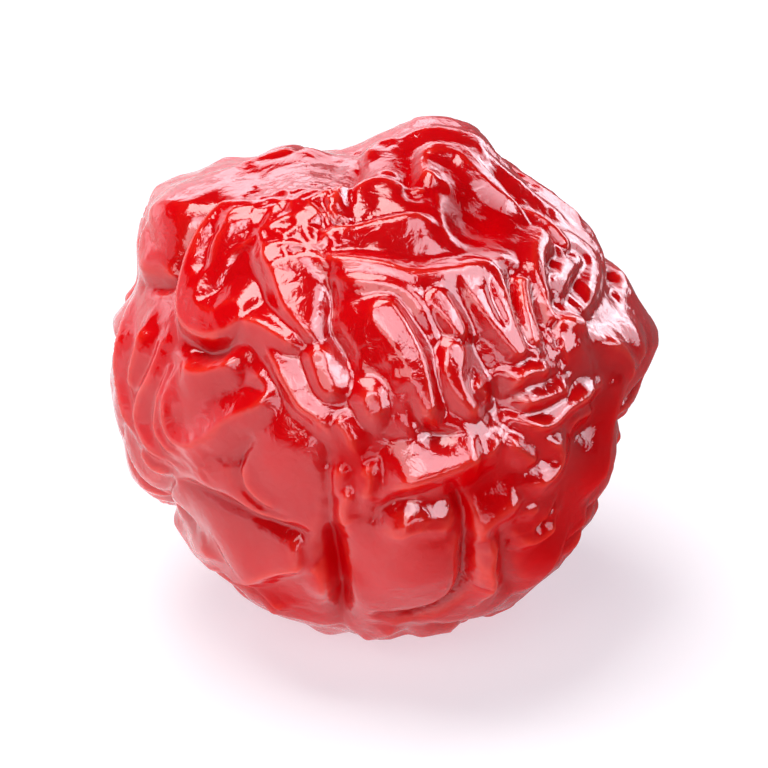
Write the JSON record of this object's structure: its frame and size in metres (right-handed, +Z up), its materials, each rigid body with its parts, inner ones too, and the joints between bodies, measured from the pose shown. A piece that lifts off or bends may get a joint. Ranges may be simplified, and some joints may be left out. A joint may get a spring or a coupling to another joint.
{
  "type": "dried cherry",
  "caption": "Whole dried cherry with glossy, deeply wrinkled red skin, without stem, lying on a small flat spot.",
  "frame": {"origin": "centre of the bounding box on the surface that the fruit lies on", "axes": "+Z up from the resting spot, -Y towards the viewer of the pictured side, +X to that viewer's right"},
  "size_m": [0.0226, 0.022, 0.0199],
  "materials": {
    "cherry_skin": "glossy, slightly translucent candied skin, deep clear red"
  },
  "bodies": {
    "root": {"cherry": "cherry_skin"}
  },
  "joints": []
}
